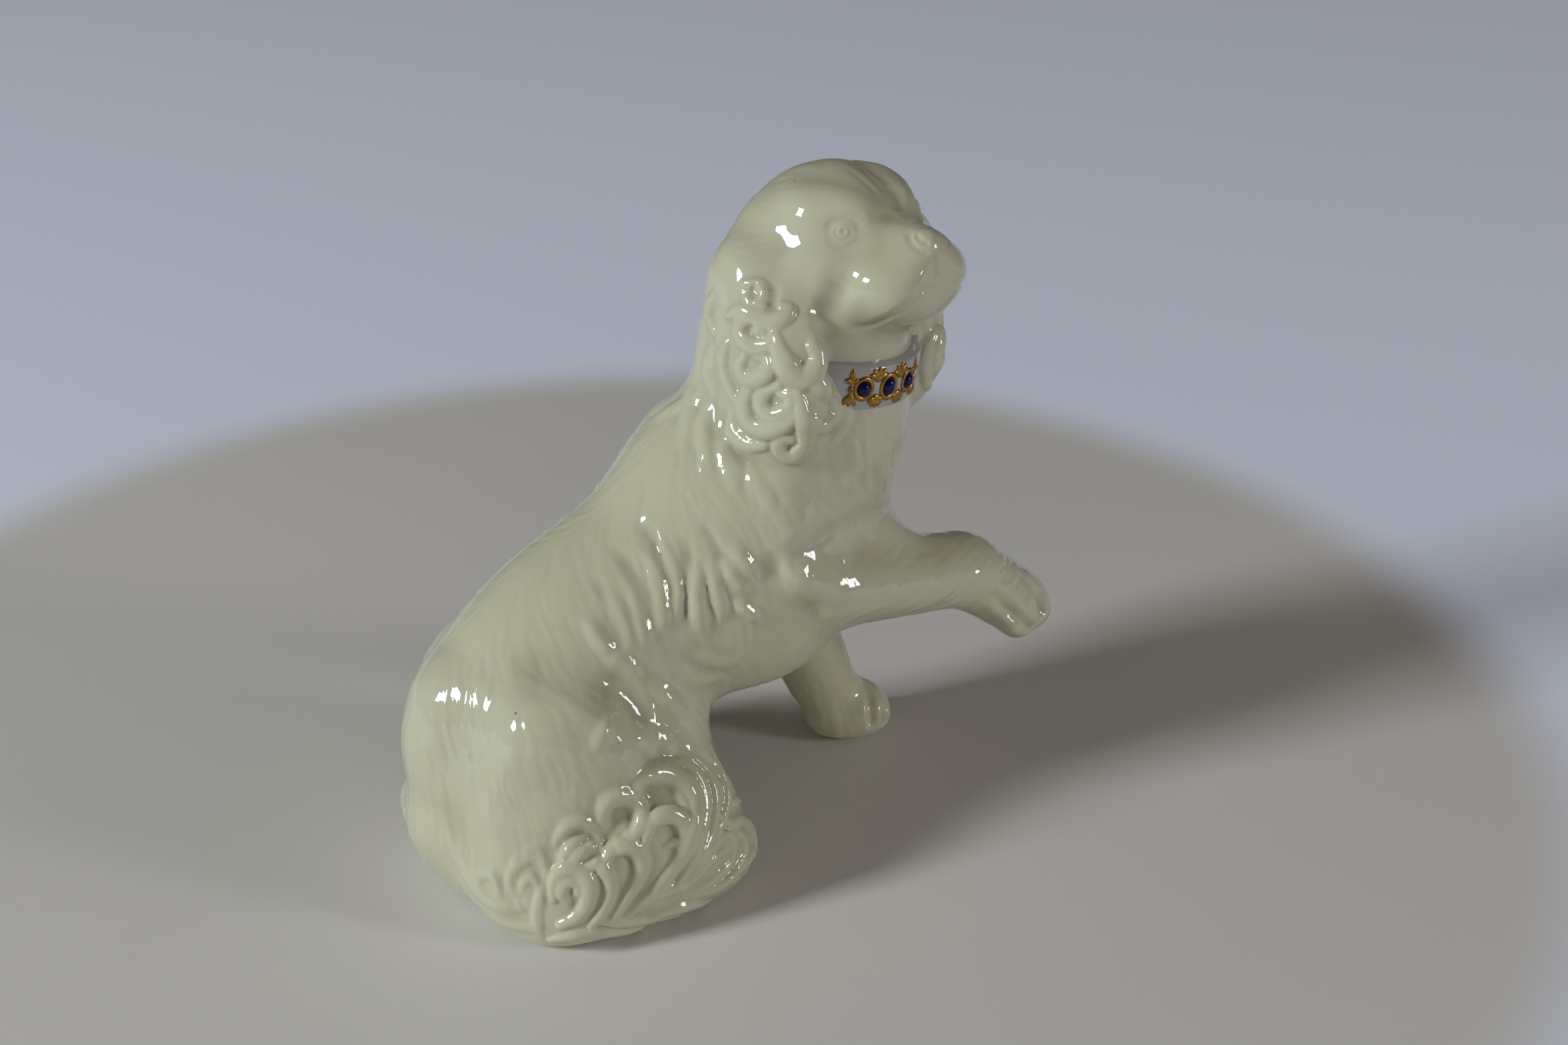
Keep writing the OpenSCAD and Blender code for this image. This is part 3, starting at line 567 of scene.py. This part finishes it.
# Combed hair of the forelock, the mane and the breast
comb_half, comb_deep = 0.9 * MM, 0.13 * MM
combed_hair = [
    [(1284, 246), (1314, 274), (1338, 304)],
    [(1300, 252), (1328, 276), (1352, 306)],
    [(1316, 260), (1342, 282), (1364, 310)],
    [(1336, 274), (1354, 290), (1372, 314)],
    [(1268, 250), (1296, 272), (1320, 294)],
    [(1010, 720), (1040, 765), (1070, 815), (1090, 850)],
    [(1030, 706), (1068, 750), (1104, 800), (1128, 836)],
    [(1056, 700), (1096, 744), (1134, 796), (1156, 840)],
    [(1090, 694), (1130, 738), (1164, 790), (1180, 830)],
    [(1124, 690), (1156, 728), (1184, 772), (1200, 812)],
    [(1262, 640), (1280, 690), (1298, 735), (1322, 754)],
    [(1290, 628), (1308, 680), (1324, 735), (1340, 760)],
    [(1314, 622), (1330, 675), (1342, 720), (1352, 752)],
    [(1236, 680), (1258, 720), (1286, 758), (1316, 768)],
    [(1336, 616), (1344, 660), (1348, 700)],
]
for drawn in combed_hair:
    for line in skin.copies(drawn, skin.across_body):
        skin.groove(line, comb_half, comb_deep)

# Fine tooled hair all over the coat: down the flanks, along the raised leg and back over the skull
tool = np.random.default_rng(11)
coats = {"body": (0.35, 0.0, -1.0), "raised_foreleg": (1.0, 0.0, 0.5), "standing_foreleg": (0.2, 0.0, -1.0)}
hair_strokes, hair_steps, hair_swing, hair_wave = 3400, 6, 0.5, 0.9
hair_step, hair_half, head_deep, coat_deep = (1.0, 1.9), (0.6, 0.9), (0.03, 0.06), (0.05, 0.11)
bare_foot, bare_nose, bare_eye = 2 * MM, 17 * MM, 7 * MM
hairy = np.isin(owners, [castings.index(name) for name in [*coats, "head"]])
hairy &= skin.at[:, 2] > bare_foot
for seed in tool.choice(np.flatnonzero(hairy), hair_strokes, replace=False):
    point = Vector(skin.at[seed])
    coat = castings[owners[seed]]
    if coat == "head":
        lie = point - Vector(nose_tip[0])
        if lie.length < bare_nose or np.linalg.norm(skin.at[seed] - near_eye) < bare_eye:
            continue
    else:
        lie = Vector(coats[coat])
    hair = [point]
    swing = tool.uniform(-hair_swing, hair_swing)
    for step in range(hair_steps):
        root, normal, _, _ = skin.tree.find_nearest(point)
        run = (lie - normal * lie.dot(normal)).normalized()
        run += normal.cross(run) * swing * math.cos(step * hair_wave)
        point = skin.tree.find_nearest(root + run * tool.uniform(*hair_step) * MM)[0]
        hair.append(point)
    depth = tool.uniform(*(head_deep if coat == "head" else coat_deep))
    skin.groove(np.array(hair), tool.uniform(*hair_half) * MM, depth * MM)
skin.settle()

# Foot rim fettled inwards, so that a line of shadow lies under the figure
rim_high, rim_sink = 1.7 * MM, 1.3 * MM
near_floor = np.clip(1 - skin.at[:, 2] / rim_high, 0, 1)
skin.at[:, :2] -= skin.out[:, :2] * (rim_sink * near_floor)[:, None]
skin.settle()

# Hollows of the skin, where glaze pools
pool_rounds, full_pool = 30, 0.6 * MM
smoothed = skin.at.copy()
for _ in range(pool_rounds):
    smoothed = np.stack([skin.spread(smoothed[:, k]) for k in range(3)], 1)
sunk = ((smoothed - skin.at) * skin.out).sum(1)
hollow = skin.mesh.attributes.new("hollow", "FLOAT", "POINT")
hollow.data.foreach_set("value", np.clip(sunk / full_pool, 0, 1))


def node(tree, kind, inputs=None, **settings):
    """Adds a node, each of whose inputs is a number, a hex colour or another node's socket."""
    made = tree.nodes.new(kind)
    for name, value in settings.items():
        setattr(made, name, value)
    for name, source in (inputs or {}).items():
        if isinstance(source, bpy.types.NodeSocket):
            tree.links.new(source, made.inputs[name])
        elif isinstance(source, str):
            made.inputs[name].default_value = hex_colour(source)
        else:
            made.inputs[name].default_value = source
    return made


def noise(tree, size, detail):
    """Soft clouds of one size, fixed to the object."""
    place = node(tree, "ShaderNodeTexCoord").outputs["Object"]
    clouds = node(tree, "ShaderNodeTexNoise", {"Vector": place, "Scale": 1 / size, "Detail": detail})
    return clouds.outputs["Fac"]


def mixed(tree, share, first, second):
    """A colour between two others."""
    return node(tree, "ShaderNodeMix", {0: share, 6: first, 7: second}, data_type="RGBA").outputs[2]


def maths(tree, operation, first, second):
    """One step of arithmetic."""
    return node(tree, "ShaderNodeMath", {0: first, 1: second}, operation=operation).outputs[0]


def new_finish(name, **sockets):
    """A material with its shader's own values set."""
    made = bpy.data.materials.new(name)
    made.use_nodes = True
    shader = made.node_tree.nodes["Principled BSDF"]
    for socket, value in sockets.items():
        shader.inputs[socket.replace("_", " ").title().replace("Ior", "IOR")].default_value = value
    return made, made.node_tree, shader


# Porcelain under clear ivory glaze: wet gloss, browner in hollows, faint clouds, a ripple and kiln specks
ivory_glaze, tree, shader = new_finish(
    "ivory_glazed_porcelain",
    roughness=0.5,
    ior=1.5,
    specular_ior_level=0.1,
    coat_weight=1.0,
    coat_roughness=0.02,
    coat_ior=1.5,
)
cloud_size, ripple_size, ripple_high = 22 * MM, 3.2 * MM, 0.08 * MM
speck_gap, speck_size, speck_chance, pool_share = 9 * MM, 0.17 * MM, 0.6, 0.6
tone = mixed(tree, noise(tree, cloud_size, 3.0), "#c8c9b0", "#bfc0a5")
pool = node(tree, "ShaderNodeAttribute", attribute_name="hollow").outputs["Fac"]
pooled = mixed(tree, maths(tree, "MULTIPLY", pool, pool_share), tone, "#827c62")
place = node(tree, "ShaderNodeTexCoord").outputs["Object"]
cells = node(tree, "ShaderNodeTexVoronoi", {"Vector": place, "Scale": 1 / speck_gap})
dots = maths(tree, "LESS_THAN", cells.outputs["Distance"], speck_size / speck_gap)
chance = node(tree, "ShaderNodeSeparateColor", {"Color": cells.outputs["Color"]}).outputs["Red"]
rare = maths(tree, "GREATER_THAN", chance, speck_chance)
glazed = mixed(tree, maths(tree, "MULTIPLY", dots, rare), pooled, "#5d5140")
tree.links.new(glazed, shader.inputs["Base Color"])
ripple = noise(tree, ripple_size, 1.0)
wave = node(tree, "ShaderNodeBump", {"Height": ripple, "Strength": 0.25, "Distance": ripple_high})
tree.links.new(wave.outputs["Normal"], shader.inputs["Normal"])
tree.links.new(wave.outputs["Normal"], shader.inputs["Coat Normal"])

# The collar strip: the same body under a thinner, cooler glaze with grey clouds
strip_glaze, tree, shader = new_finish(
    "cool_glazed_strip", roughness=0.35, ior=1.5, coat_weight=1.0, coat_roughness=0.05, coat_ior=1.5
)
strip_cloud = 3 * MM
tone = mixed(tree, noise(tree, strip_cloud, 3.0), "#b2b4b1", "#999c9c")
tree.links.new(tone, shader.inputs["Base Color"])

# Fired gold laid on by brush: warm satin metal, browner and duller where it is thin
fired_gold, tree, shader = new_finish("brushed_fired_gold", metallic=1.0, roughness=0.3)
gold_cloud, gold_grain = 0.7 * MM, 0.03 * MM
thin = noise(tree, gold_cloud, 4.0)
tree.links.new(mixed(tree, thin, "#c0984c", "#7e5828"), shader.inputs["Base Color"])
dull = node(
    tree,
    "ShaderNodeMapRange",
    {"Value": thin, "From Min": 0.3, "From Max": 0.7, "To Min": 0.24, "To Max": 0.46},
)
tree.links.new(dull.outputs["Result"], shader.inputs["Roughness"])
grain = node(tree, "ShaderNodeBump", {"Height": thin, "Strength": 0.4, "Distance": gold_grain})
tree.links.new(grain.outputs["Normal"], shader.inputs["Normal"])

# Raised cobalt enamel: a thick glassy drop, nearly black blue with a lighter bloom
cobalt_enamel, tree, shader = new_finish(
    "raised_cobalt_enamel", roughness=0.06, ior=1.52, specular_ior_level=0.3
)
bloom_size = 1.2 * MM
blue = mixed(tree, noise(tree, bloom_size, 2.0), "#05063a", "#0b0f5c")
tree.links.new(blue, shader.inputs["Base Color"])


def show(name, mesh, material, stands_for):
    """Puts a finished piece on the figure in place of its CAD node."""
    piece = placed(name, mesh)
    mesh.materials.clear()
    mesh.materials.append(material)
    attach(piece, "root")
    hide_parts(stands_for)


def casting_faces(mesh, vote_rounds=8, own_vote=0.5, merge_rounds=3):
    """Which casting each face belongs to, in one patch for each casting."""
    labels = owners[[p.vertices[0] for p in mesh.polygons]]
    work = bmesh.new()
    work.from_mesh(mesh)
    pairs = np.array([[f.index for f in e.link_faces] for e in work.edges if len(e.link_faces) == 2])
    neighbours = [[] for _ in labels]
    for a, b in pairs:
        neighbours[a].append(b)
        neighbours[b].append(a)
    work.free()
    for _ in range(vote_rounds):
        votes = np.zeros((len(labels), len(castings)))
        np.add.at(votes, (pairs[:, 0], labels[pairs[:, 1]]), 1)
        np.add.at(votes, (pairs[:, 1], labels[pairs[:, 0]]), 1)
        votes[np.arange(len(labels)), labels] += own_vote
        labels = votes.argmax(1)
    for _ in range(merge_rounds):
        patch = np.full(len(labels), -1)
        patches = []
        for first in range(len(labels)):
            if patch[first] >= 0:
                continue
            group, edge = [first], []
            patch[first] = len(patches)
            for face in group:
                for other in neighbours[face]:
                    if labels[other] != labels[first]:
                        edge.append(labels[other])
                    elif patch[other] < 0:
                        patch[other] = len(patches)
                        group.append(other)
            patches.append((labels[first], group, edge))
        for number in range(len(castings)):
            own = sorted((p for p in patches if p[0] == number), key=lambda p: -len(p[1]))
            for _, group, edge in own[1:]:
                labels[group] = np.bincount(edge).argmax()
    return labels


def cut_castings(mesh, sink):
    """Closed copies of the skin with sunk edges, one for each casting, and smooth normals at the seams."""
    labels = casting_faces(mesh)
    normals = np.empty(len(mesh.vertices) * 3)
    mesh.vertex_normals.foreach_get("vector", normals)
    normals = normals.reshape(-1, 3)
    for number, name in enumerate(castings):
        part = bmesh.new()
        part.from_mesh(mesh)
        origin = part.verts.layers.int.new("origin")
        for v in part.verts:
            v[origin] = v.index
        bmesh.ops.delete(part, geom=[f for f in part.faces if labels[f.index] != number], context="FACES")
        seam = [e for e in part.edges if e.is_boundary]
        wall = bmesh.ops.extrude_edge_only(part, edges=seam)["geom"]
        for v in wall:
            if isinstance(v, bmesh.types.BMVert):
                v.co -= Vector(normals[v[origin]]) * sink
        sunk_edge = [e for e in part.edges if e.is_boundary]
        caps = bmesh.ops.holes_fill(part, edges=sunk_edge, sides=0)["faces"]
        caps = set(bmesh.ops.triangulate(part, faces=caps)["faces"])
        caps.update(f for f in wall if isinstance(f, bmesh.types.BMFace))
        loops = []
        part.faces.ensure_lookup_table()
        for face in part.faces:
            face.smooth = True
            for corner in face.loops:
                loops.append(face.normal.copy() if face in caps else Vector(normals[corner.vert[origin]]))
        made = bpy.data.meshes.new(name + "_glazed")
        part.to_mesh(made)
        part.free()
        made.attributes.remove(made.attributes["origin"])
        made.normals_split_custom_set(loops)
        show(name + "_glazed", made, ivory_glaze, name)


edge_sink = 1.2 * MM
cut_castings(skin.mesh, edge_sink)

# The collar's own frame on the neck, in mm and degrees
neck_low, neck_top, collar_rise = Vector((38.6, -5.2, 70.0)), Vector((41.0, -6.5, 90.0)), 10.4
neck_r, band_r, band_h, band_arc, stone_step = 12.3, 14.3, 7.2, 126, 18
face_front = -80
leaf_thick, leaf_wide = 0.34, 0.8
up = (neck_top - neck_low).normalized()
aside = up.cross(Vector((1, 0, 0))).normalized()
ahead = aside.cross(up)
collar_frame = Matrix((ahead, aside, up)).transposed().to_4x4()
collar_frame.translation = neck_low + up * collar_rise
to_metres = Matrix.Scale(MM, 4) @ collar_frame


def wrap(part, step):
    """Lays a flat ornament on the band: its x runs round the neck, y up and z outwards."""
    for v in part.verts:
        turn = math.radians(face_front + step * stone_step) + v.co.x / band_r
        reach = band_r + v.co.z
        v.co = to_metres @ Vector((reach * math.cos(turn), reach * math.sin(turn), v.co.y))


def finish_mesh(part, name):
    """A smooth mesh whose faces point outwards."""
    bmesh.ops.recalc_face_normals(part, faces=part.faces)
    if part.calc_volume(signed=True) < 0:
        bmesh.ops.reverse_faces(part, faces=part.faces)
    for face in part.faces:
        face.smooth = True
    made = bpy.data.meshes.new(name)
    part.to_mesh(made)
    part.free()
    return made


def blob(part, x, y, wide, high, thick, turn=0):
    """A flattened drop of gold or enamel."""
    lie = Matrix.Translation((x, y, 0)) @ Matrix.Rotation(math.radians(turn), 4, "Z")
    lie = lie @ Matrix.Diagonal((wide / 2, high / 2, thick, 1))
    bmesh.ops.create_uvsphere(part, u_segments=24, v_segments=16, radius=1, matrix=lie)


def melted(part, name, step, voxel=0.07):
    """Drops run together into one smooth piece on the band."""
    drops = Clay(voxel_skin(finish_mesh(part, name), voxel))
    drops.relax(4)
    drops.settle()
    part = bmesh.new()
    part.from_mesh(drops.mesh)
    wrap(part, step)
    return finish_mesh(part, name)


def leaf(part, foot, reach, length, wide, lean, flip=1):
    """A leaf of gold that leans out from a point of the spray's stem."""
    turn = math.radians(lean)
    x = reach[0] * math.cos(turn)
    y = foot + flip * reach[1] * math.sin(turn)
    blob(part, x, y, length, wide, leaf_thick, flip * lean)


# Glazed strip with rounded edges, spun round the neck
strip_in, strip_top, strip_steps = neck_r - 2.5, band_h / 2, 63
bevel = [(0.7, 0.0), (0.25, 0.1), (0.0, 0.4)]
upper_edge = [(band_r - inside, strip_top - below) for inside, below in bevel]
lower_edge = [(x, -z) for x, z in upper_edge]
profile = [(strip_in, -strip_top), *lower_edge, *reversed(upper_edge), (strip_in, strip_top)]
strip = bmesh.new()
outline = strip.faces.new([strip.verts.new((x, 0, z)) for x, z in profile])
strip_start = Matrix.Rotation(math.radians(face_front - band_arc / 2), 3, "Z")
bmesh.ops.rotate(strip, cent=(0, 0, 0), matrix=strip_start, verts=strip.verts)
bmesh.ops.spin(
    strip,
    geom=[outline],
    cent=(0, 0, 0),
    axis=(0, 0, 1),
    angle=math.radians(band_arc),
    steps=strip_steps,
    use_duplicate=False,
)
bmesh.ops.transform(strip, matrix=to_metres, verts=strip.verts)
show("collar_strip", finish_mesh(strip, "collar_strip"), strip_glaze, "collar_band")

# Cabochons and the gold settings round them: each stone's step round the neck, width and height
stones = (("front", 0, 2.2, 2.9), ("right", -1, 2.1, 2.4), ("left", 1, 2.1, 2.4))
stone_thick, wire_r, wire_gap, wire_fat = 0.9, 0.3, (0.32, 0.4), (1.2, 1.5)
wire_sides, wire_steps = 10, 48
for name, step, wide, high in stones:
    drop = bmesh.new()
    blob(drop, 0, 0, wide, high, stone_thick)
    wrap(drop, step)
    show(name + "_cabochon", finish_mesh(drop, name + "_cabochon"), cobalt_enamel, name + "_stone")
    ring = bmesh.new()
    bmesh.ops.create_circle(ring, segments=wire_sides, radius=wire_r)
    bmesh.ops.rotate(ring, cent=(0, 0, 0), matrix=Matrix.Rotation(math.pi / 2, 3, "X"), verts=ring.verts)
    bmesh.ops.translate(ring, vec=(1, 0, 0), verts=ring.verts)
    bmesh.ops.spin(
        ring,
        geom=ring.edges[:],
        cent=(0, 0, 0),
        axis=(0, 0, 1),
        angle=2 * math.pi,
        steps=wire_steps,
        use_merge=True,
    )
    for v in ring.verts:
        outwards = Vector((v.co.x, v.co.y)).normalized()
        off = math.hypot(v.co.x, v.co.y) - 1
        v.co.x = outwards.x * (wide / 2 + wire_gap[0] + wire_fat[0] * off)
        v.co.y = outwards.y * (high / 2 + wire_gap[1] + wire_fat[1] * off)
    wrap(ring, step)
    show(name + "_setting", finish_mesh(ring, name + "_setting"), fired_gold, name + "_ring")

# Palmettes between the stones: an open fan above and a fuller fringe below, by leaf length and leaning angles
fans = (
    ("upper", 1, 1.95, (25, 57, 90, 123, 155)),
    ("lower", -1, 1.6, (12, 38, 64, 90, 116, 142, 168)),
)
fan_foot, fan_heart, fan_step, fan_reach = 1.55, (1.5, 1.3), 0.5, (0.55, 0.52)
for side, step in (("right", -fan_step), ("left", fan_step)):
    for edge, flip, longest, leans in fans:
        name = edge + "_" + side + "_palmette"
        spray = bmesh.new()
        blob(spray, 0, flip * fan_foot, *fan_heart, leaf_thick)
        for lean in leans:
            length = longest * (0.85 + 0.15 * math.sin(math.radians(lean)))
            reach = (fan_reach[0] * length, fan_reach[1] * length)
            leaf(spray, flip * fan_foot, reach, length, leaf_wide, lean, flip)
        show(name + "_gold", melted(spray, name + "_gold", step), fired_gold, name)

# End fleurs: a three-lobed leaf above, a bead on a stem, and a flared leaf below
lobes, lobe_wide, lobe_foot, lobe_reach = ((30, 1.2), (90, 2.2), (150, 1.2)), 0.85, 0.95, 0.55
flares, flare_length, flare_foot, flare_reach = (62, 90, 118), 2.2, -0.75, 1.2
fleur_step, fleur_bead, fleur_stem = 1.47, (1.0, 1.0, 0.42), (0.4, 2.6, 0.3)
for side, step in (("right", -fleur_step), ("left", fleur_step)):
    name = side + "_end_fleur"
    spray = bmesh.new()
    blob(spray, 0, 0, *fleur_bead)
    blob(spray, 0, 0, *fleur_stem)
    for lean, length in lobes:
        reach = lobe_reach * length
        leaf(spray, lobe_foot, (reach, reach), length, lobe_wide, lean)
    for lean in flares:
        leaf(spray, flare_foot, (flare_reach, flare_reach), flare_length, leaf_wide, lean, -1)
    show(name + "_gold", melted(spray, name + "_gold", step), fired_gold, name)

# Plain pale floor: a matt warm sheet round the figure that runs out into a cooler pale ground
floor_half, mottle_size, ground_glow = 0.75, 60 * MM, 0.26
sheet_middle, sheet_r, sheet_edge = (23 * MM, 28 * MM, 0), 160 * MM, 12 * MM
ground = bmesh.new()
bmesh.ops.create_grid(ground, x_segments=1, y_segments=1, size=floor_half)
floor = placed("floor", finish_mesh(ground, "floor"))
paper, tree, shader = new_finish("matt_pale_sheet", roughness=0.6)
warm = mixed(tree, noise(tree, mottle_size, 2.0), "#deddd8", "#d9d8d4")
place = node(tree, "ShaderNodeTexCoord").outputs["Object"]
distance = node(tree, "ShaderNodeVectorMath", {0: place, 1: sheet_middle}, operation="DISTANCE")
beyond = node(
    tree,
    "ShaderNodeMapRange",
    {"Value": distance.outputs["Value"], "From Min": sheet_r - sheet_edge, "From Max": sheet_r + sheet_edge},
    interpolation_type="SMOOTHSTEP",
).outputs["Result"]
tree.links.new(mixed(tree, beyond, warm, "#c1c8d2"), shader.inputs["Base Color"])
ray = node(tree, "ShaderNodeLightPath")
seen = maths(tree, "MAXIMUM", ray.outputs["Is Camera Ray"], ray.outputs["Is Glossy Ray"])
glow = maths(tree, "MULTIPLY", maths(tree, "MULTIPLY", seen, beyond), ground_glow)
shader.inputs["Emission Color"].default_value = hex_colour("#ccd3ea")
tree.links.new(glow, shader.inputs["Emission Strength"])
floor.data.materials.append(paper)


def lamp(name, round_at, rise, far, size, power, colour, mirrored=True, aim=(0.025, 0, 0.05)):
    """A soft window of light at an angle round the figure and above the floor."""
    light = bpy.data.lights.new(name, "AREA")
    light.shape = "RECTANGLE"
    light.size, light.size_y = size
    light.energy = power
    light.color = hex_colour(colour)[:3]
    holder = placed(name, light)
    turn, tilt = math.radians(round_at), math.radians(rise)
    way = Vector((math.cos(turn) * math.cos(tilt), math.sin(turn) * math.cos(tilt), math.sin(tilt)))
    holder.location = Vector(aim) + way * far
    holder.rotation_euler = way.to_track_quat("Z", "Y").to_euler()
    holder.visible_glossy = mirrored


# Lamps: angle round the figure and above the floor, distance, size, watts and colour
lamp("left_window", 176, 26, 1.5, (0.27, 0.34), 15.0, "#f8fcff")
lamp("left_wall", -124, 22, 1.5, (1.5, 1.0), 2.0, "#fff6ea", mirrored=False)
lamp("right_window", -50, 14, 1.3, (0.23, 0.33), 4.7, "#f3eef4")

# Room light from all round, weaker from above, before a plain pale wall
low_light, high_light = 0.19, 0.09
world = bpy.data.worlds.new("room")
world.use_nodes = True
tree = world.node_tree
room = tree.nodes["Background"]
room.inputs["Color"].default_value = hex_colour("#d2c4b2")
heading = node(tree, "ShaderNodeTexCoord").outputs["Generated"]
height = node(tree, "ShaderNodeSeparateXYZ", {"Vector": heading}).outputs["Z"]
fall = node(
    tree,
    "ShaderNodeMapRange",
    {"Value": height, "From Min": 0.1, "From Max": 0.8, "To Min": low_light, "To Max": high_light},
)
tree.links.new(fall.outputs["Result"], room.inputs["Strength"])
wall = node(tree, "ShaderNodeBackground", {"Color": "#b4bac6", "Strength": 1.0})
seen = node(tree, "ShaderNodeLightPath").outputs["Is Camera Ray"]
shown = node(tree, "ShaderNodeMixShader", {0: seen, 1: room.outputs[0], 2: wall.outputs[0]})
tree.links.new(shown.outputs[0], tree.nodes["World Output"].inputs["Surface"])
bpy.context.scene.world = world

# The photograph's camera
view = bpy.data.cameras.new("photo_camera")
view.lens = lens
view.sensor_width = sensor
camera = placed("photo_camera", view)
camera.location = camera_at
camera.rotation_euler = camera_turn
bpy.context.scene.camera = camera
bpy.context.scene.view_settings.view_transform = "Standard"
